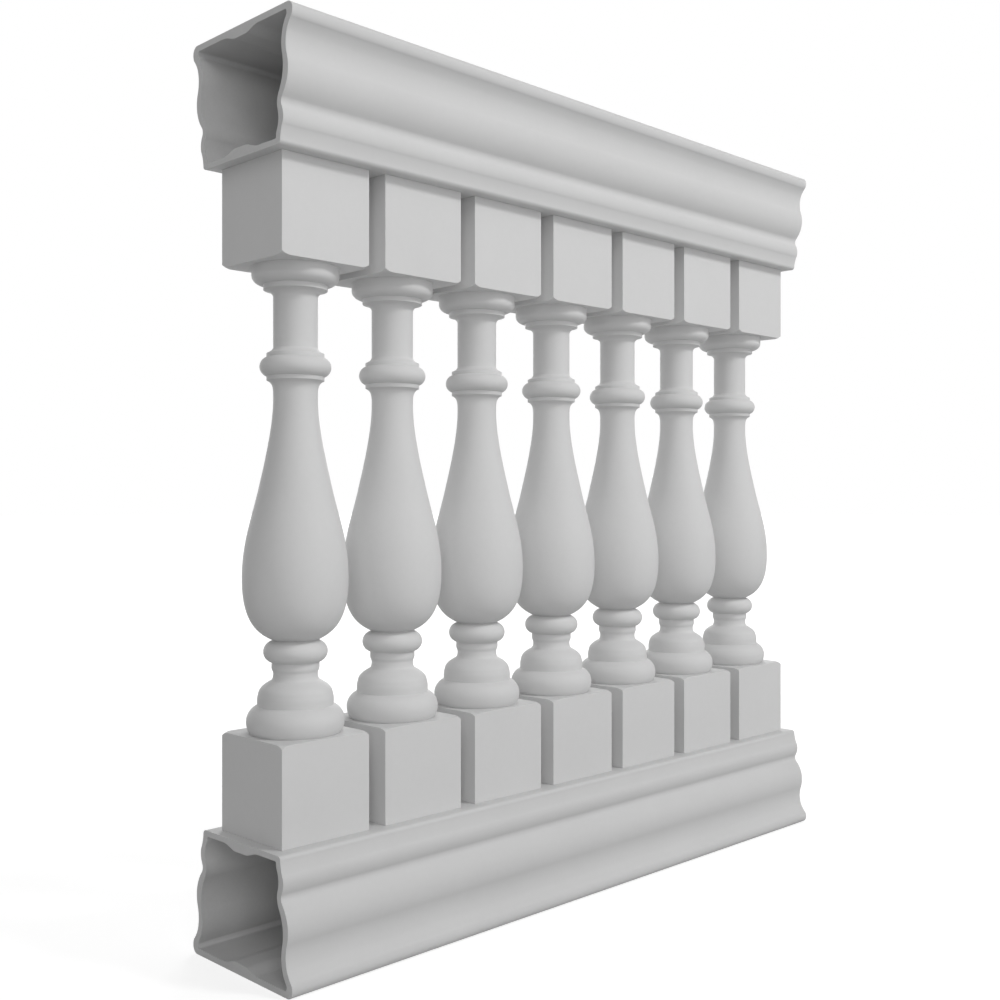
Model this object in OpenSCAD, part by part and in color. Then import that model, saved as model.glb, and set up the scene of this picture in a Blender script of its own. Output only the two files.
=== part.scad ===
// Moulded fiberglass balustrade: two hollow moulded rails, the lower one turned
// over, and seven turned balusters with square blocks between them.
// X runs along the rails, Y is depth, Z is up. Origin: middle of the base.

/* [Layout] */
// Distance between baluster centres
pitch = 152.4; // [135:0.1:185]
// How far the rails run on past the end blocks
overhang = 14.8; // [5:0.1:30]
// Length of a baluster, from rail to rail
baluster_h = 805; // [720:1:970]
// Bond line between a baluster and a rail
bond = 0; // [0:0.1:1]

/* [Rail section] */
// Full width of the rail at its nose
rail_w = 210; // [196:0.1:255]
// Thickness of the wide outer flange
flange_t = 7.6; // [5:0.1:9.2]
// Thickness of the inner flange, next to the balusters
web_t = 6.8; // [5.6:0.1:8.2]
// How far the side wall stands in from the nose's centre
side_t = 7.9; // [6.8:0.1:9.4]
// Radius of the nose at the outer edge
nose_r = 9.5; // [9:0.1:11.5]
// Radius of the cove below the nose
cove_r = 46.5; // [39:0.1:56]
// Depth of the cove's middle below the rail's outer face
cove_d = 45; // [41:0.1:49]
// Radius of the belly moulding
belly_r = 44; // [37:0.1:52]
// Depth of the belly's fullest point
belly_d = 73.3; // [70:0.1:76]
// Radius of the quirk between belly and bead
quirk_r = 10; // [8:0.1:12]
// Depth of the quirk
quirk_d = 109.3; // [107:0.1:111]
// Radius of the bead moulding
bead_r = 24.7; // [21:0.1:29]
// Depth of the bead's fullest point
bead_d = 126.3; // [124:0.1:129]
// Radius of the small cove between bead and inner edge
foot_cove_r = 22.4; // [18:0.1:27]
// Depth at which the small cove runs out straight
foot_cove_d = 150; // [148:1:160]
// Radius of the rail's inner edge, next to the balusters
edge_r = 5; // [4:0.1:7]

/* [Seam strips] */
// Width of the laminated strip over the half-shells' joint
strip_w = 70; // [62:1:86]
// Thickness of the strip
strip_t = 5.8; // [4:0.1:7]
// Feathered margin on each side of the strip
strip_feather = 25; // [20:0.5:30]

/* [Baluster] */
// Width of the square blocks
block_w = 127; // [122:1:140]
// Height of each block
block_h = 120; // [100:0.5:144]
// Radius of the turned rim that takes the corners off a block's shoulder
rim_r = 13; // [11:0.1:16]
// Diameter of the necks
neck_d = 54; // [45:1:58]
// Diameter of the vase's belly
belly_dia = 128.4; // [107:0.1:140]
// Height of the vase's belly above the lower block
belly_up = 187.5; // [170:0.5:210]
// Diameter of the wide base ring on the lower block
base_ring_d = 118.6; // [106:0.1:122]
// Diameter of the fillet above the base ring
base_fillet_d = 92.4; // [88:0.1:98]
// Diameter of the ring below the vase
ring_d = 77.8; // [72:0.1:90]
// Diameter of the collar ring
collar_d = 86.6; // [80:0.1:96]
// Diameter of the cap under the upper block
cap_d = 105.8; // [96:0.1:116]

/* [Hidden] */
baluster_count = 7;
gelcoat = [0.80, 0.80, 0.80];
laminate = [0.60, 0.61, 0.60];

rail_len = (baluster_count - 1) * pitch + block_w + 2 * overhang;
rail_h = foot_cove_d + 1 + edge_r;
base_top = rail_h + bond;                  // where a baluster starts
top_soffit = base_top + baluster_h + bond; // underside of the top rail
total_h = top_soffit + rail_h;
turned_h = baluster_h - 2 * block_h;       // the turned length between blocks

// ---- curves -------------------------------------------------------------
// Points of an elliptical arc about [x, y]
function ell(x, y, rx, ry, a0, a1, n) =
    [for (i = [0:n]) let (a = a0 + (a1 - a0) * i / n)
        [x + rx * cos(a), y + ry * sin(a)]];
function arc(x, y, r, a0, a1, n) = ell(x, y, r, r, a0, a1, n);
// Points of a cubic curve with end points p, s and handles q, r
function cubic(p, q, r, s, n) =
    [for (i = [0:n]) let (t = i / n, u = 1 - t)
        u*u*u * p + 3*u*u*t * q + 3*u*t*t * r + t*t*t * s];

// ---- rail section -------------------------------------------------------
// Each outline is a chain of tangent arcs, in turn convex and concave. Only
// the first centre is placed: two tangent arcs' centres lie a sum of radii
// apart, so each centre follows from the one before. r are the radii and d
// the centres' depths below the flange.
function centres(y, r, d, i = 0) =
    i == len(r) - 1 ? [y] : concat([y], centres(y + (i % 2 == 0 ? 1 : -1)
        * sqrt(pow(r[i] + r[i + 1], 2) - pow(d[i + 1] - d[i], 2)), r, d, i + 1));
// Angle at centre i of the line to centre j, from 0 to 360 round a concave arc
function toward(y, d, i, j) = let (a = atan2(d[j] - d[i], y[j] - y[i]))
    i % 2 == 1 && a < 0 ? a + 360 : a;
function chain(y, r, d, n) = [for (i = [0:len(r) - 1])
    let (a0 = i == 0 ? -90 : toward(y, d, i, i - 1),
         a1 = i == len(r) - 1 ? 180 : toward(y, d, i, i + 1))
        each arc(y[i], d[i], r[i], a0, a1, n)];

// Mould face: nose, cove, belly, quirk, bead and a small cove
out_r = [nose_r, cove_r, belly_r, quirk_r, bead_r, foot_cove_r];
out_d = [nose_r, cove_d, belly_d, quirk_d, bead_d, foot_cove_d];
out_y = centres(rail_w / 2 - nose_r, out_r, out_d);
side_y = out_y[5] - foot_cove_r; // half width of the inner flange
// Inner face: the glass mat bridges the tight hollows, so its arcs are flatter
nose_in_r = 3.5; // radius inside the nose
web_in_r = 2;    // radius inside the corner at the inner flange
in_r = out_r + [nose_in_r - nose_r, 22, 11, 13.6, 4, -8];
in_d = out_d + [flange_t + nose_in_r - nose_r, -2, -5, 0, 0, -4];
in_y = centres(out_y[0] - side_t, in_r, in_d);

// Half outlines from the outer flange's middle to the inner flange's middle.
// The first value is out from the middle, the second is depth.
mould_face = concat([[0, 0]], chain(out_y, out_r, out_d, 11),
    arc(side_y - edge_r, rail_h - edge_r, edge_r, 0, 90, 6), [[0, rail_h]]);
inner_face = concat([[0, flange_t]], chain(in_y, in_r, in_d, 9),
    arc(in_y[5] - in_r[5] - web_in_r, rail_h - web_t - web_in_r, web_in_r, 0, 90, 3),
    [[0, rail_h - web_t]]);

function flip(p) = [for (i = [len(p) - 1:-1:0]) p[i]];

// One half-shell, outer face up at height 0, Y positive
module half_shell() {
    rotate([90, 0, 90]) linear_extrude(rail_len, center = true)
        mirror([0, 1]) polygon(concat(mould_face, flip(inner_face)));
}

// A strip on an inner face, lying on height 0 and rising
module seam_strip() {
    rotate([90, 0, 90]) linear_extrude(rail_len, center = true)
        polygon([[-strip_w / 2, 0], [strip_w / 2, 0],
            [strip_w / 2 - strip_feather, strip_t],
            [-strip_w / 2 + strip_feather, strip_t]]);
}

// Places a top rail piece, or the same piece turned over as a bottom rail
module as_top() { translate([0, 0, total_h]) children(); }
module as_bottom() { mirror([0, 0, 1]) children(); }
module outer_strip() { translate([0, 0, -flange_t]) mirror([0, 0, 1]) seam_strip(); }
module inner_strip() { translate([0, 0, web_t - rail_h]) seam_strip(); }

module top_rail_front_shell() color(gelcoat) as_top() mirror([0, 1, 0]) half_shell();
module top_rail_back_shell() color(gelcoat) as_top() half_shell();
module top_rail_upper_seam_strip() color(laminate) as_top() outer_strip();
module top_rail_lower_seam_strip() color(laminate) as_top() inner_strip();
module bottom_rail_front_shell() color(gelcoat) as_bottom() mirror([0, 1, 0]) half_shell();
module bottom_rail_back_shell() color(gelcoat) as_bottom() half_shell();
module bottom_rail_upper_seam_strip() color(laminate) as_bottom() inner_strip();
module bottom_rail_lower_seam_strip() color(laminate) as_bottom() outer_strip();

// ---- baluster -----------------------------------------------------------
// A block standing on height 0: a square prism whose shoulder is turned, which
// takes the four corners down in a curve and leaves the rest flat
module block() {
    corner = block_w / 2 * sqrt(2);
    intersection() {
        translate([-block_w / 2, -block_w / 2, 0])
            cube([block_w, block_w, block_h]);
        rotate_extrude($fn = 144) polygon(concat(
            [[0, 0], [corner + 2, 0]],
            arc(corner - 0.75 * rim_r, block_h - rim_r, rim_r, 20, 90, 10),
            [[0, block_h]]));
    }
}

neck_r = neck_d / 2;
vase_r = belly_dia / 2;
sunk = 3; // how far the turned part runs into each block
base_r = 20.6; // roundness of the base ring
base_up = 14.5; // height of the base ring's fullest point
base_a = acos((base_fillet_d / 2 - base_ring_d / 2 + base_r) / base_r);
ring_r = 13.5;
ring_up = 98.5;
ring_a = acos((neck_r + 1.8 - ring_d / 2 + ring_r) / ring_r);
collar_r = 12.3;
collar_down = 120.7;
collar_a = acos((neck_r + 8 - collar_d / 2 + collar_r) / collar_r);
vase_foot = ring_up + ring_r * sin(ring_a);
vase_top = turned_h - 160.5;
vase_len = vase_top - belly_up;
function vr(k) = neck_r + k * (vase_r - neck_r); // a share of the way out
function vz(k) = belly_up + k * vase_len;        // a share of the way up

// Turned outline above the lower shoulder, from the axis round to the axis
function turned() = concat(
    [[0, -sunk]],
    // base ring, fuller below than above, and its fillet
    ell(base_ring_d / 2 - 8, base_up, 8, 20,
        -asin((base_up + sunk) / 20), 0, 8),
    arc(base_ring_d / 2 - base_r, base_up, base_r, base_a / 9, base_a, 8),
    [[base_fillet_d / 2, 42.5], [base_fillet_d / 2 - 1, 43.5]],
    // cup, up to the lower neck
    cubic([base_fillet_d / 2 - 1, 43.6], [base_fillet_d / 2 - 1, 51.9],
        [base_fillet_d / 2 - 3.2, 56.5], [neck_r + 2.5, 63.6], 10),
    cubic([neck_r + 2.4, 63.7], [neck_r + 1.2, 64.7],
        [neck_r, 66.8], [neck_r, 71], 4),
    // ring below the vase, on its fillet
    ell(neck_r, 79.5, 2, 5.5, -90, 0, 4),
    arc(ring_d / 2 - ring_r, ring_up, ring_r, -ring_a, ring_a, 14),
    // vase: three curves that meet smoothly, at the belly and half way up
    cubic([neck_r + 0.9, vase_foot + 1],
        [vase_r - 15.4, vase_foot + 10.3],
        [vase_r, belly_up - 49], [vase_r, belly_up], 18),
    cubic([vase_r, belly_up], [vase_r, vz(0.209)],
        [vr(0.686), vz(0.331)], [vr(0.449), vz(0.518)], 14),
    cubic([vr(0.449), vz(0.518)], [vr(0.34), vz(0.604)],
        [neck_r, vz(0.838)], [neck_r, vase_top], 12),
    // collar ring between two fillets, each with a small cove
    cubic([neck_r, turned_h - 152.5], [neck_r + 0.3, turned_h - 144.5],
        [neck_r + 1.6, turned_h - 139.7], [neck_r + 7.8, turned_h - 137.3], 8),
    [[neck_r + 8, turned_h - 136.6]],
    arc(collar_d / 2 - collar_r, turned_h - collar_down, collar_r,
        -collar_a, collar_a, 14),
    [[neck_r + 8, turned_h - 104.7]],
    cubic([neck_r + 7.8, turned_h - 104.3], [neck_r + 4.5, turned_h - 102.9],
        [neck_r + 0.9, turned_h - 100.9], [neck_r, turned_h - 97.5], 6),
    // neck, cove, fillet and cap under the upper block
    cubic([neck_r, turned_h - 36.5], [neck_r + 0.2, turned_h - 31.3],
        [neck_r + 5.5, turned_h - 28.6], [neck_r + 11.4, turned_h - 27.7], 8),
    [[neck_r + 11.8, turned_h - 27.2], [neck_r + 11.8, turned_h - 22]],
    ell(cap_d / 2 - 13.8, turned_h - 10.6, 13.8, 11, -90, 0, 8),
    [[cap_d / 2, turned_h + sunk], [0, turned_h + sunk]]);

module baluster(i) {
    color(gelcoat)
    translate([(i - (baluster_count + 1) / 2) * pitch, 0, base_top]) union() {
        block();
        translate([0, 0, baluster_h]) mirror([0, 0, 1]) block();
        translate([0, 0, block_h]) rotate_extrude($fn = 144) polygon(turned());
    }
}

top_rail_front_shell();
top_rail_back_shell();
top_rail_upper_seam_strip();
top_rail_lower_seam_strip();
bottom_rail_front_shell();
bottom_rail_back_shell();
bottom_rail_upper_seam_strip();
bottom_rail_lower_seam_strip();
baluster(1);  // baluster_1
baluster(2);  // baluster_2
baluster(3);  // baluster_3
baluster(4);  // baluster_4
baluster(5);  // baluster_5
baluster(6);  // baluster_6
baluster(7);  // baluster_7
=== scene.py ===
import math
import bpy
import numpy as np
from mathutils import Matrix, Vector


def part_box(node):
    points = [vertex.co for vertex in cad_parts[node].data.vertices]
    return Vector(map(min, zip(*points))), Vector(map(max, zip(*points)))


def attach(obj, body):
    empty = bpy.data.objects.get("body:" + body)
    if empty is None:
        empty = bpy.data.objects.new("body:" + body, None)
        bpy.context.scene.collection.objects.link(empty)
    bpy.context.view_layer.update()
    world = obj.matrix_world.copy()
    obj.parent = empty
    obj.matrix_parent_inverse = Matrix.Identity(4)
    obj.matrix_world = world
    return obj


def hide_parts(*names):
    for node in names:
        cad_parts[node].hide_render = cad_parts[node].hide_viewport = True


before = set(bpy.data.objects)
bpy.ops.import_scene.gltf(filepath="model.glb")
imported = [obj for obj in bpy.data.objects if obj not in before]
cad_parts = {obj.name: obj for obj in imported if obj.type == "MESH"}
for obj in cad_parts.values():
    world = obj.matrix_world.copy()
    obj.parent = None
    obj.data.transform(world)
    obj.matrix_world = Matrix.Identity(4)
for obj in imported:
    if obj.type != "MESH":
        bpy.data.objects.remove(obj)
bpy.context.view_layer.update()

# A moulded fiberglass balustrade: two hollow rails, each of two half-shells
# joined by laminated strips, and seven turned balusters on square blocks.
# X runs along the rails, Y is depth with the front at -Y, and Z is up.
# The sizes below are in millimetres; the meshes are in metres.

# ---- sizes ------------------------------------------------------------------

MM = 0.001
BALUSTERS = [f"baluster_{number}" for number in range(1, 8)]

# The rail: its outer flange lies away from the balusters, its inner one
# against them. Radii along a face are positive on rounds, negative on hollows.
RAIL_WIDTH = 210.0
RAIL_DEPTH = 156.0
FLANGE = 7.6
INNER_FLANGE = 6.8
FOOT_EDGE_RADIUS = 5.0

NOSE_RADIUS = 9.5
NOSE_UNDERSIDE = (5.2, 10.0)
NOSE_TURN = 68
BEAD_UNDERSIDE = (7.0, 12.0)
BEAD_TURN = 46
BEAD_TO_FOOT = 6.0
FIRST_HOLLOW_OUT = 33.8
JOIN_ANGLE = 16.24
OUTER_RADII = [-46.5, 44.0, -10.0, 24.7]
OUTER_DEPTHS = [45.0, 73.3, 109.3, 126.3]

NOSE_WALL = 11.1
INNER_NOSE_RADIUS = 3.5
INNER_FOOT_RADIUS = 2.0
INNER_RADII = [INNER_NOSE_RADIUS, -46.7, 55.0, -23.6, 28.7, -14.4]
INNER_DEPTHS = [12.6, 43.0, 68.3, 109.3, 126.3, 146.0]

# Distances from the middle at which the flanges have points, and how much
# closer they stand on the narrower inner flange.
FLANGE_SPOTS = [0.0, 12.0, 24.0, 30.0, 36.0, 50.0, 70.0, 85.0]
INNER_FLANGE_SPOTS = 6
INNER_FLANGE_SHARE = 0.9

STRIP_WIDTH = 70.0
STRIP_SLOPE = 25.0
STRIP_FEATHER = 0.2
STRIP_POINTS = 81

BLOCK_WIDTH = 127.0
BLOCK_HEIGHT = 120.0
RIM_RADIUS = 13.0
RIM_SHARE = 0.75
RIM_START = 16
RIM_BEGINS = 0.2
CLEAR_OF_CORNER = 5.0
BLOCK_LEVELS = [6.0, 30.0, 60.0, 90.0]
EASED_EDGE = 0.4
SUNK = 3.0

NECK_RADIUS = 27.0
VASE_RADIUS = 64.2
BELLY_HEIGHT = 187.5
VASE_TOP_DROP = 160.5
BASE_RING_RADIUS = 59.3
BASE_RING_CURVE = 20.6
BASE_RING_HEIGHT = 14.5
BASE_RING_FOOT = (8.8, 16.5)
BASE_FILLET_RADIUS = 46.2
RING_RADIUS = 38.9
RING_CURVE = 13.5
RING_HEIGHT = 98.5
COLLAR_RADIUS = 43.3
COLLAR_CURVE = 12.3
COLLAR_DROP = 120.7
CAP_RADIUS = 52.9
CAP_CURVE = (13.8, 11)

# How finely shapes are divided: the rails along X, each arc of their section,
# and the balusters round their axis.
RAIL_STATIONS = 21
ARC_STEPS = 22
TURN_SEGMENTS = 120


# ---- curves -----------------------------------------------------------------

def ellipse(centre, radii, start, end, steps):
    """Points of an ellipse: centre + radii * (cos a, sin a), where the angle a
    goes evenly from start to end, in degrees."""
    angle = np.radians(np.linspace(start, end, steps + 1))
    unit = np.stack([np.cos(angle), np.sin(angle)], axis=1)
    return np.array(centre) + np.array(radii) * unit


def circle(centre, radius, start, end, steps):
    """Points of a circle's arc, from one angle to another, in degrees."""
    return ellipse(centre, (radius, radius), start, end, steps)


def cubic(first, second, third, last, steps):
    """Points of a cubic curve: the four points weighted by the terms of
    (u + t) cubed, where t goes evenly from 0 to 1 and u is 1 - t."""
    t = np.linspace(0, 1, steps + 1)[:, None]
    u = 1 - t
    corners = [np.array(point, float) for point in (first, second, third, last)]
    weights = [u ** 3, 3 * u * u * t, 3 * u * t * t, t ** 3]
    return sum(weight * corner for weight, corner in zip(weights, corners))


def line(first, last, steps):
    """Points evenly spaced on a straight line."""
    t = np.linspace(0, 1, steps + 1)[:, None]
    return (1 - t) * np.array(first, float) + t * np.array(last, float)


# ---- meshes -----------------------------------------------------------------

def grid_faces(rows, columns):
    """Quads between neighbouring rows and columns of a grid of points that are
    numbered row by row. The last column joins the first."""
    row, column = np.meshgrid(np.arange(rows - 1), np.arange(columns), indexing="ij")
    here = row * columns + column
    beside = row * columns + (column + 1) % columns
    return np.stack([here, beside, beside + columns, here + columns], -1).reshape(-1, 4)


def fan_faces(pole, first, columns):
    """Triangles from a pole to a ring of points, the first of them numbered."""
    column = np.arange(columns)
    here = first + column
    beside = first + (column + 1) % columns
    return np.stack([np.full(columns, pole), here, beside], -1)


def signed_volume(points, faces):
    """Six times the volume inside the faces: the sum over a fan of triangles of
    a . (b x c), positive when the faces point outwards."""
    total = 0.0
    for group in faces:
        for corner in range(2, group.shape[1]):
            a, b, c = (points[group[:, k]] for k in (0, corner - 1, corner))
            total += np.einsum("ij,ij->", a, np.cross(b, c))
    return total


def outward(points, faces):
    """The same solid with its faces turned over if they point inwards."""
    if signed_volume(points, faces) < 0:
        faces = [group[:, ::-1] for group in faces]
    return points, faces


def rings_solid(rings):
    """A closed solid from a stack of rings, an array of ring by column by xyz.
    Each end is closed by a fan to the middle of its last ring."""
    count, columns, _ = rings.shape
    points = np.concatenate([rings.reshape(-1, 3), rings[[0, -1]].mean(axis=1)])
    low, high = count * columns, count * columns + 1
    faces = [
        grid_faces(count, columns),
        fan_faces(low, 0, columns)[:, ::-1],
        fan_faces(high, (count - 1) * columns, columns),
    ]
    return outward(points, faces)


def joined(solids):
    """Several solids as one list of points and faces."""
    points, faces, start = [], [], 0
    for solid_points, solid_faces in solids:
        points.append(solid_points)
        faces += [group + start for group in solid_faces]
        start += len(solid_points)
    return np.concatenate(points), faces


def piece(name, node, solid, materials, sharp=40, pick=None):
    """A mesh object in the place of a CAD node. pick gives each face's material."""
    points, faces = solid
    mesh = bpy.data.meshes.new(name)
    mesh.from_pydata(points, [], [face for group in faces for face in group.tolist()])
    for material in materials:
        mesh.materials.append(material)
    if pick is not None:
        mesh.polygons.foreach_set("material_index", pick)
    mesh.polygons.foreach_set("use_smooth", np.ones(len(mesh.polygons), bool))
    mesh.set_sharp_from_angle(angle=math.radians(sharp))
    mesh.update()
    made = bpy.data.objects.new(name, mesh)
    bpy.context.scene.collection.objects.link(made)
    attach(made, "root")
    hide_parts(node)


# ---- rail section -----------------------------------------------------------

def chain_centres(first, radii, depths):
    """Centres of tangent arcs whose radii are positive on rounds and negative
    on hollows. A round and a hollow have centres a sum of radii apart, so each
    centre follows from the one before."""
    across = [first]
    for k in range(len(radii) - 1):
        reach = abs(radii[k]) + abs(radii[k + 1])
        step = math.sqrt(reach ** 2 - (depths[k + 1] - depths[k]) ** 2)
        across.append(across[-1] + math.copysign(step, radii[k]))
    return across


def chain(across, radii, depths, begin, steps):
    """The arcs about those centres, each without its last point. The angle is
    the outward normal's, from level to down: it begins at a given value, goes
    on unbroken from arc to arc, and ends level."""
    parts = []
    for k, radius in enumerate(radii):
        end = 0.0
        if k + 1 < len(radii):
            side = math.copysign(1, radius)
            down, out = depths[k + 1] - depths[k], across[k + 1] - across[k]
            end = math.degrees(math.atan2(side * down, side * out))
        parts.append(circle((across[k], depths[k]), radius, begin, end, steps)[:-1])
        begin = end
    return parts


def rail_outlines():
    """Mould face and inner face of half a rail's section, as (out from the
    middle, depth below the outer face), with as many points on each. The nose
    and the lower bead each end in a crease, where a gentler hollow begins."""
    nose = RAIL_WIDTH / 2
    across = chain_centres(nose + FIRST_HOLLOW_OUT, OUTER_RADII, OUTER_DEPTHS)
    join = circle((across[0], OUTER_DEPTHS[0]), OUTER_RADII[0], JOIN_ANGLE, JOIN_ANGLE, 1)[0]
    bead = across[-1] + OUTER_RADII[-1]
    foot = bead - BEAD_TO_FOOT
    inner_nose = nose - NOSE_WALL
    inner_across = chain_centres(inner_nose - INNER_NOSE_RADIUS, INNER_RADII, INNER_DEPTHS)
    inner_foot = inner_across[-1] + INNER_RADII[-1]
    lower = RAIL_DEPTH - INNER_FLANGE
    flat = np.array(FLANGE_SPOTS)[:, None] * np.array([[1.0, 0.0]])
    narrow_flat = flat[:INNER_FLANGE_SPOTS][::-1] * INNER_FLANGE_SHARE

    nose_middle = (nose - NOSE_UNDERSIDE[0], NOSE_RADIUS)
    nose_end = ellipse(nose_middle, NOSE_UNDERSIDE, NOSE_TURN, NOSE_TURN, 1)[0]
    bead_middle = (bead - BEAD_UNDERSIDE[0], OUTER_DEPTHS[-1])
    bead_end = ellipse(bead_middle, BEAD_UNDERSIDE, BEAD_TURN, BEAD_TURN, 1)[0]
    edge = FOOT_EDGE_RADIUS
    outer = [
        flat,
        circle((nose - NOSE_RADIUS, NOSE_RADIUS), NOSE_RADIUS, -90, 0, 16)[:-1],
        ellipse(nose_middle, NOSE_UNDERSIDE, 0, NOSE_TURN, 10)[:-1],
        cubic(nose_end, (nose - 6.3, 22.4), join + (1.25, -4.3), join, 12)[:-1],
        *chain(across, OUTER_RADII, OUTER_DEPTHS, JOIN_ANGLE, ARC_STEPS),
        ellipse(bead_middle, BEAD_UNDERSIDE, 0, BEAD_TURN, 10)[:-1],
        cubic(bead_end, (bead - 3.7, 138.4), (bead - 5.6, 145.5), (foot, 150.5), 12)[:-1],
        circle((foot - edge, RAIL_DEPTH - edge), edge, 0, 90, 10),
        narrow_flat + (0.0, RAIL_DEPTH),
    ]
    nose_corner = (inner_nose - INNER_NOSE_RADIUS, FLANGE + INNER_NOSE_RADIUS)
    foot_corner = (inner_foot - INNER_FOOT_RADIUS, lower - INNER_FOOT_RADIUS)
    inner = [
        flat + (0.0, FLANGE),
        circle(nose_corner, INNER_NOSE_RADIUS, -90, 0, 16)[:-1],
        *chain(inner_across, INNER_RADII, INNER_DEPTHS, 0.0, ARC_STEPS),
        circle(foot_corner, INNER_FOOT_RADIUS, 0, 90, 10),
        narrow_flat + (0.0, lower),
    ]
    return np.concatenate(outer), np.concatenate(inner)


def along_x(low, high, y, z):
    """A closed outline carried along X, as a grid of stations by outline
    points. The outline goes out along one face and back along the other, and
    a ladder of quads between the two closes each cut end."""
    x = np.linspace(low.x, high.x, RAIL_STATIONS)
    grid = np.stack(np.broadcast_arrays(x[:, None], y, z), -1)
    stations, columns, _ = grid.shape
    walls = grid_faces(stations, columns)
    rung = np.arange(columns // 2 - 1)
    ladder = np.stack([rung, rung + 1, columns - 2 - rung, columns - 1 - rung], -1)
    far = ladder[:, ::-1] + (stations - 1) * columns
    return outward(grid.reshape(-1, 3), [walls, ladder, far])


def half_shell(box, front, turned_over):
    """Half a rail: the mould face and the inner face, joined at the middle of
    the rail. With it comes each face's material: 0 on the gel coat, 1 inside
    and on the cut ends."""
    outer, inner = rail_outlines()
    count = len(outer)
    outline = np.concatenate([outer, inner[::-1]]) * MM
    low, high = box
    side = -1.0 if front else 1.0
    z = low.z + outline[:, 1] if turned_over else high.z - outline[:, 1]
    y = np.clip(side * outline[:, 0], low.y, high.y)
    z = np.clip(z, low.z, high.z)
    points, faces = along_x(low, high, y, z)
    column = np.tile(np.arange(2 * count), RAIL_STATIONS - 1)
    inside = (column >= count) & (column < 2 * count - 1)
    cut_ends = np.ones(2 * (count - 1), bool)
    pick = np.concatenate([inside, cut_ends]).astype(np.int32)
    return (points, faces), pick


def seam_strip(box, rising):
    """A strip that swells from feathered edges to full thickness: its height
    across the width follows a smooth step, 3t^2 - 2t^3."""
    low, high = box
    half = STRIP_WIDTH / 2 * MM
    across = np.linspace(-half, half, STRIP_POINTS)
    t = np.clip((half - np.abs(across)) / (STRIP_SLOPE * MM), 0, 1)
    feather = STRIP_FEATHER * MM
    height = (3 * t * t - 2 * t ** 3) * (high.z - low.z - feather) + feather
    top = low.z + height if rising else high.z - height
    foot = np.full(STRIP_POINTS, low.z if rising else high.z)
    y = np.concatenate([across, across[::-1]])
    return along_x(low, high, y, np.concatenate([top, foot]))


# ---- baluster ---------------------------------------------------------------

def turn_to(meet, widest, curve):
    """Degrees through which a round turns, from its widest radius in to the
    radius where it meets its neighbour, when its own arc has radius curve."""
    return math.degrees(math.acos((meet - widest + curve) / curve))


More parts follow.
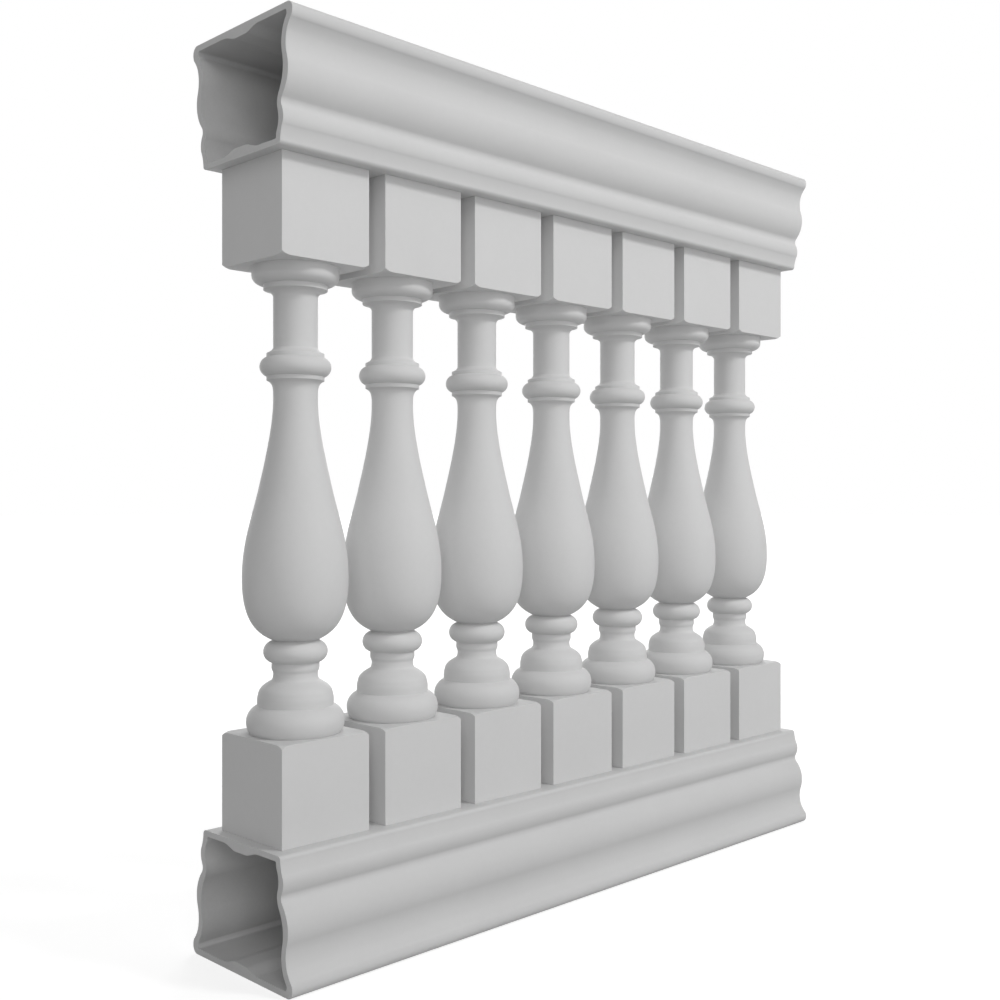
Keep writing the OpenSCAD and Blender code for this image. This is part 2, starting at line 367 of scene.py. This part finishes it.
def turned_outline(turned_height):
    """Radius and height of the turned part above the lower block's shoulder,
    from the axis round to the axis. Upwards it has a base ring, a fillet, a
    ring, the vase, a collar, the neck and a cap. Heights in the lower half are
    from the lower shoulder, and those in the upper half from the upper one."""
    neck = NECK_RADIUS
    vase = VASE_RADIUS
    top = turned_height
    fillet = BASE_FILLET_RADIUS
    base_angle = turn_to(fillet, BASE_RING_RADIUS, BASE_RING_CURVE)
    ring_angle = turn_to(neck + 1.8, RING_RADIUS, RING_CURVE)
    collar_angle = turn_to(neck + 8, COLLAR_RADIUS, COLLAR_CURVE)
    base_foot = (BASE_RING_RADIUS - BASE_RING_FOOT[0], BASE_RING_HEIGHT)
    base_middle = (BASE_RING_RADIUS - BASE_RING_CURVE, BASE_RING_HEIGHT)
    ring_middle = (RING_RADIUS - RING_CURVE, RING_HEIGHT)
    collar_middle = (COLLAR_RADIUS - COLLAR_CURVE, top - COLLAR_DROP)
    cap_middle = (CAP_RADIUS - CAP_CURVE[0], top - 10.6)
    vase_foot = RING_HEIGHT + RING_CURVE * math.sin(math.radians(ring_angle))
    belly = BELLY_HEIGHT
    vase_top = top - VASE_TOP_DROP

    def share(out, up):
        """A point by its share of the way from neck to vase radius, and of the
        way from the belly to the top of the vase."""
        return neck + out * (vase - neck), belly + up * (vase_top - belly)

    parts = [
        [[0, -SUNK]],
        ellipse(base_foot, BASE_RING_FOOT, -75, 0, 24),
        circle(base_middle, BASE_RING_CURVE, base_angle / 20, base_angle, 22),
        line((fillet, 35), (fillet, 40), 4),
        cubic((fillet, 40.5), (fillet, 43.5), (fillet - 0.8, 45.85), (fillet - 1.5, 48.9), 10),
        cubic((fillet - 1.5, 48.9), (fillet - 2.6, 54.15), (neck + 12.9, 58.1),
              (neck + 2.5, 63.6), 24)[1:],
        cubic((neck + 2.4, 63.7), (neck + 1.2, 64.7), (neck, 66.8), (neck, 71), 12),
        cubic((neck, 71.5), (neck, 75.5), (neck + 2, 75.5), (neck + 2, 80), 12),
        circle(ring_middle, RING_CURVE, -ring_angle, ring_angle, 28),
        cubic((neck + 0.9, vase_foot + 1), (vase - 15.4, vase_foot + 10.3),
              (vase, belly - 49), (vase, belly), 44),
        cubic((vase, belly), (vase, share(0, 0.209)[1]),
              share(0.686, 0.331), share(0.449, 0.518), 36)[1:],
        cubic(share(0.449, 0.518), share(0.34, 0.604),
              (neck, share(0, 0.838)[1]), (neck, vase_top), 30)[1:],
        cubic((neck, top - 152.5), (neck + 0.3, top - 144.5),
              (neck + 1.6, top - 139.7), (neck + 7.8, top - 137.3), 20),
        [[neck + 8, top - 136.9]],
        circle(collar_middle, COLLAR_CURVE, -collar_angle, collar_angle, 28),
        [[neck + 8, top - 104.7]],
        cubic((neck + 7.8, top - 104.3), (neck + 4.5, top - 102.9),
              (neck + 0.9, top - 100.9), (neck, top - 97.5), 16),
        line((neck, top - 90), (neck, top - 40), 8),
        cubic((neck, top - 36.5), (neck + 0.2, top - 31.3),
              (neck + 5.5, top - 28.6), (neck + 11.4, top - 27.7), 20),
        [[neck + 11.7, top - 27.5]],
        line((neck + 11.8, top - 27), (neck + 11.8, top - 22), 3),
        ellipse(cap_middle, CAP_CURVE, -90, 0, 22),
        [[CAP_RADIUS, top - 4], [CAP_RADIUS, top + SUNK], [0, top + SUNK]],
    ]
    return np.concatenate([np.array(part, float) for part in parts])


def turned_part(turned_height):
    """The turned outline carried once round the Z axis."""
    outline = turned_outline(turned_height)[1:-1]
    angle = np.linspace(0, 2 * math.pi, TURN_SEGMENTS, endpoint=False)
    radius, height = outline[:, 0, None], outline[:, 1, None]
    rings = np.broadcast_arrays(radius * np.cos(angle), radius * np.sin(angle), height)
    return rings_solid(np.stack(rings, -1))


def block_levels():
    """Heights of a block's rings: close together on the eased edges and on the
    turned rim, and far apart on the flat faces between."""
    ease = EASED_EDGE
    rise = np.radians(np.linspace(0, 90, 7))
    rim = np.radians(np.linspace(RIM_START, 90, 25))[:-1]
    return np.unique(np.round(np.concatenate([
        ease * (1 - np.cos(rise)),
        BLOCK_LEVELS,
        BLOCK_HEIGHT - RIM_RADIUS + RIM_RADIUS * np.sin(rim),
        BLOCK_HEIGHT - ease * (1 - np.sin(rise[1:])),
    ]), 4))


def block():
    """A square block standing on height 0 with a turned shoulder. Every ring is
    a square cut by a circle: along each face it is straight out to where the
    circle crosses, and from there an arc about a centre on the diagonal takes
    it round the corner. Below the rim the circle is clear of the corners."""
    half = BLOCK_WIDTH / 2
    ease = EASED_EDGE
    corner = half * math.sqrt(2)
    height = block_levels()
    inset_foot = ease * (1 - np.sqrt(np.clip(1 - (1 - height / ease) ** 2, 0, 1)))
    above = np.clip((height - BLOCK_HEIGHT + ease) / ease, 0, 1)
    inset = np.where(height < ease, inset_foot, ease * (1 - np.sqrt(1 - above ** 2)))
    over = np.clip((height - BLOCK_HEIGHT + RIM_RADIUS) / RIM_RADIUS, -1, 1)
    radius = corner - RIM_SHARE * RIM_RADIUS + RIM_RADIUS * np.sqrt(1 - over ** 2)
    radius = np.where(over < RIM_BEGINS, corner + CLEAR_OF_CORNER, radius)

    side = (half - inset)[:, None]
    widest = math.sqrt(2) * (side - ease) + ease
    reach = np.minimum(radius[:, None], widest)
    cross = np.minimum(side - ease, np.sqrt(np.clip(reach ** 2 - side ** 2, 0, None)))
    cross = np.where(reach >= widest, side - ease, cross)
    centre = (side ** 2 + cross ** 2 - reach ** 2) / (2 * (side + cross - math.sqrt(2) * reach))
    start = np.arctan2(cross - centre, side - centre)
    straight = np.linspace(0, 1, 9)[None, :-1] * cross
    bend = start + (math.pi / 4 - start) * np.linspace(0, 1, 13)[None, :]
    bend_radius = np.hypot(side - centre, cross - centre)
    face = np.broadcast_to(side, straight.shape)
    out = np.concatenate([face, centre + bend_radius * np.cos(bend)], 1)
    along = np.concatenate([straight, centre + bend_radius * np.sin(bend)], 1)

    eighth = np.stack([out, along], -1)
    quarter = np.concatenate([eighth, eighth[:, -2:0:-1, ::-1]], 1)
    x, y = quarter[..., 0], quarter[..., 1]
    turns = [
        np.stack([c * x - s * y, s * x + c * y], -1)
        for c, s in ((1, 0), (0, 1), (-1, 0), (0, -1))
    ]
    ring = np.concatenate(turns, 1)
    level = np.broadcast_to(height[:, None, None], ring.shape[:2] + (1,))
    return rings_solid(np.concatenate([ring, level], -1))


def baluster(box):
    """Lower block, turned part and upper block, turned over, in one place."""
    low, high = box
    length = (high.z - low.z) / MM
    turned_height = length - 2 * BLOCK_HEIGHT
    block_points, block_faces = block()
    turned_points, turned_faces = turned_part(turned_height)
    upper = block_points * (1, 1, -1) + (0, 0, length)
    solids = [
        (block_points, block_faces),
        (turned_points + (0, 0, BLOCK_HEIGHT), turned_faces),
        (upper, [group[:, ::-1] for group in block_faces]),
    ]
    points, faces = joined(solids)
    middle = ((low.x + high.x) / 2, (low.y + high.y) / 2, low.z)
    return points * MM + middle, faces


# ---- finishes ---------------------------------------------------------------

class Wire:
    """One socket of a node tree. Arithmetic on it adds Math nodes, and node()
    adds any other node."""

    def __init__(self, tree, socket=None):
        self.tree = tree
        self.socket = socket

    def node(self, kind, settings=None, inputs=None, output=0):
        made = self.tree.nodes.new(kind)
        for key, value in (settings or {}).items():
            setattr(made, key, value)
        for key, value in (inputs or {}).items():
            if isinstance(value, Wire):
                self.tree.links.new(value.socket, made.inputs[key])
            else:
                made.inputs[key].default_value = value
        return Wire(self.tree, made.outputs[output] if len(made.outputs) else None)

    def math(self, operation, *others):
        values = dict(enumerate((self,) + others))
        return self.node("ShaderNodeMath", {"operation": operation}, values)

    def __add__(self, other):
        return self.math("ADD", other)

    def __sub__(self, other):
        return self.math("SUBTRACT", other)

    def __rsub__(self, other):
        return self.node("ShaderNodeMath", {"operation": "SUBTRACT"}, {0: other, 1: self})

    def __mul__(self, other):
        return self.math("MULTIPLY", other)

    __radd__ = __add__
    __rmul__ = __mul__


def new_material(name):
    """An empty node material and a wire into its tree."""
    material = bpy.data.materials.new(name)
    material.use_nodes = True
    material.node_tree.nodes.clear()
    return material, Wire(material.node_tree)


def grey(level):
    """A colour with the same level in red, green and blue."""
    return (level, level, level, 1)


def shade_between(start, amount, darkest, lightest):
    """A grey that goes from darkest to lightest as the amount goes from 0 to 1.
    The numbers are the colour sockets of a Mix node."""
    inputs = {0: amount, 6: grey(darkest), 7: grey(lightest)}
    return start.node("ShaderNodeMix", {"data_type": "RGBA"}, inputs, output=2)


def noise(start, place, scale, detail=2.0, roughness=0.5):
    """Noise over a place, with about scale lumps to the metre."""
    return start.node("ShaderNodeTexNoise", None,
                      {"Vector": place, "Scale": scale, "Detail": detail, "Roughness": roughness})


def gelcoat(name, darkest, lightest):
    """Matt light grey gel coat: faint cloudy mottling, a fine orange-peel skin
    and slightly uneven gloss. The rails and the balusters each have their own
    darkest and lightest grey."""
    material, start = new_material(name)
    place = start.node("ShaderNodeTexCoord", output="Object")
    cloud = noise(start, place, scale=7.0, detail=3.0)
    fine = noise(start, place, scale=130.0, detail=3.0)
    tone = shade_between(start, cloud * 0.7 + fine * 0.3, darkest, lightest)
    peel = noise(start, place, scale=420.0, detail=2.0)
    wave = noise(start, place, scale=16.0, detail=1.0)
    bump = start.node("ShaderNodeBump", None,
                      {"Strength": 0.35, "Distance": 0.001, "Height": peel * 0.05 + wave * 0.35})
    shader = start.node("ShaderNodeBsdfPrincipled", None, {
        "Base Color": tone,
        "Roughness": cloud * 0.12 + fine * 0.1 + 0.55,
        "Normal": bump,
        "Specular IOR Level": 0.15,
    })
    start.node("ShaderNodeOutputMaterial", None, {"Surface": shader})
    return material


def laminate():
    """Raw glass fibre laminate: a fine, strong mottling that stands for short
    strands under resin, and the soft unevenness that a roller leaves."""
    material, start = new_material("raw_laminate")
    place = start.node("ShaderNodeTexCoord", output="Object")
    cloud = noise(start, place, scale=22.0, detail=3.0)
    strands = noise(start, place, scale=260.0, detail=4.0, roughness=0.7)
    tone = shade_between(start, cloud * 0.5 + strands * 0.5, 0.50, 0.62)
    bump = start.node("ShaderNodeBump", None,
                      {"Strength": 0.5, "Distance": 0.001, "Height": strands * 0.2 + cloud * 0.6})
    shader = start.node("ShaderNodeBsdfPrincipled", None, {
        "Base Color": tone,
        "Roughness": strands * 0.2 + 0.5,
        "Normal": bump,
        "Specular IOR Level": 0.2,
    })
    start.node("ShaderNodeOutputMaterial", None, {"Surface": shader})
    return material


# ---- pieces -----------------------------------------------------------------

rail_coat = gelcoat("matt_grey_rail_gelcoat", 0.547, 0.607)
baluster_coat = gelcoat("matt_grey_baluster_gelcoat", 0.583, 0.643)
raw = laminate()

for rail, turned_over in (("top_rail", False), ("bottom_rail", True)):
    for front in (True, False):
        node = f"{rail}_{'front' if front else 'back'}_shell"
        solid, pick = half_shell(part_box(node), front, turned_over)
        piece(f"{node}_finished", node, solid, [rail_coat, raw], pick=pick)
    for place in ("upper", "lower"):
        node = f"{rail}_{place}_seam_strip"
        solid = seam_strip(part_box(node), rising=place == "lower")
        piece(f"{node}_finished", node, solid, [raw])

for node in BALUSTERS:
    piece(f"{node}_finished", node, baluster(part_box(node)), [baluster_coat])

# ---- studio -----------------------------------------------------------------

scene = bpy.context.scene
scene.view_settings.view_transform = "Standard"

# The camera is level, half way up the section, and looks at it from the front
# and the left.
CAMERA_PLACE = (-1.32539, -1.23474, 0.5585)
CAMERA_BEARING = -45
SENSOR_MM = 36
LENS_MM = 43.89
CAMERA_SHIFT = -0.0081

camera = bpy.data.objects.new("camera", bpy.data.cameras.new("camera"))
scene.collection.objects.link(camera)
camera.location = CAMERA_PLACE
camera.rotation_euler = (math.radians(90), 0, math.radians(CAMERA_BEARING))
camera.data.sensor_width = SENSOR_MM
camera.data.lens = LENS_MM
camera.data.shift_x = CAMERA_SHIFT
scene.camera = camera

# Soft round lamps, each at the same distance from the aim and turned to it:
# name, bearing from the front towards +X and height angle, both in degrees,
# diameter in metres and power in watts.
AIM = (0.0, 0.0, 0.6)
LAMP_DISTANCE = 4.0
LAMPS = [
    ("key", 22, 38, 0.8, 61),
    ("front_left_low", -40, 4, 2.6, 35),
    ("front_right_low", 40, 4, 2.6, 28),
    ("front_left_high", -45, 40, 2.6, 29),
    ("back_right", 135, 20, 2.6, 81),
    ("back_low", 180, 4, 2.6, 52),
]
AMBIENT = 0.217

for name, bearing, rise, diameter, watts in LAMPS:
    lamp = bpy.data.objects.new(name, bpy.data.lights.new(name, "AREA"))
    scene.collection.objects.link(lamp)
    lamp.data.shape = "DISK"
    lamp.data.size = diameter
    lamp.data.energy = watts
    bearing, rise = math.radians(bearing), math.radians(rise)
    level = LAMP_DISTANCE * math.cos(rise)
    lamp.location = (AIM[0] + level * math.sin(bearing), AIM[1] - level * math.cos(bearing),
                     AIM[2] + LAMP_DISTANCE * math.sin(rise))
    lamp.rotation_euler = (math.pi / 2 - rise, 0, bearing)


def seen_as_white(start):
    """1 for the rays that see the background itself: straight from the camera,
    by reflection or through glass. Others only carry the studio's light."""
    camera_ray = start.node("ShaderNodeLightPath", output="Is Camera Ray")
    glossy_ray = start.node("ShaderNodeLightPath", output="Is Glossy Ray")
    through_ray = start.node("ShaderNodeLightPath", output="Is Transmission Ray")
    return camera_ray.math("MAXIMUM", glossy_ray).math("MAXIMUM", through_ray)


world = bpy.data.worlds.new("studio")
scene.world = world
world.use_nodes = True
world.node_tree.nodes.clear()
start = Wire(world.node_tree)
dim = start.node("ShaderNodeBackground", None, {"Color": grey(1), "Strength": AMBIENT})
white = start.node("ShaderNodeBackground", None, {"Color": grey(1), "Strength": 1.0})
mixed = start.node("ShaderNodeMixShader", None, {0: seen_as_white(start), 1: dim, 2: white})
start.node("ShaderNodeOutputWorld", None, {"Surface": mixed})

# The floor's paint carries the shadow and its glow makes it white. The glow's
# share is least near the section, where the shadow falls, and rises further
# off, where less lamp light reaches the paint. Only the rays that see the
# background meet the glow and the paler paint.
FLOOR_HALF = 40
FLOOR_PAINT = 0.5
FLOOR_PALER = 0.45
FLOOR_GLOW = 1.25
GLOW_SHARE = {"From Min": 0.8, "From Max": 2.6, "To Min": 0.6, "To Max": 0.97}

floor_mesh = bpy.data.meshes.new("floor")
floor_corners = [(-FLOOR_HALF, -FLOOR_HALF, 0), (FLOOR_HALF, -FLOOR_HALF, 0),
                 (FLOOR_HALF, FLOOR_HALF, 0), (-FLOOR_HALF, FLOOR_HALF, 0)]
floor_mesh.from_pydata(floor_corners, [], [(0, 1, 2, 3)])
floor = bpy.data.objects.new("floor", floor_mesh)
scene.collection.objects.link(floor)
floor_material, start = new_material("pale_floor")
seen = seen_as_white(start)
place = start.node("ShaderNodeTexCoord", output="Object")
away = start.node("ShaderNodeVectorMath", {"operation": "LENGTH"}, {0: place}, output="Value")
share = start.node("ShaderNodeMapRange", {"interpolation_type": "SMOOTHSTEP"},
                   {"Value": away, **GLOW_SHARE})
paint = start.node("ShaderNodeBsdfDiffuse", None, {"Color": seen * FLOOR_PALER + FLOOR_PAINT})
glow = start.node("ShaderNodeEmission", None, {"Color": grey(1), "Strength": FLOOR_GLOW})
shown = start.node("ShaderNodeMixShader", None, {0: seen * share, 1: paint, 2: glow})
start.node("ShaderNodeOutputMaterial", None, {"Surface": shown})
floor_mesh.materials.append(floor_material)

bpy.context.view_layer.update()
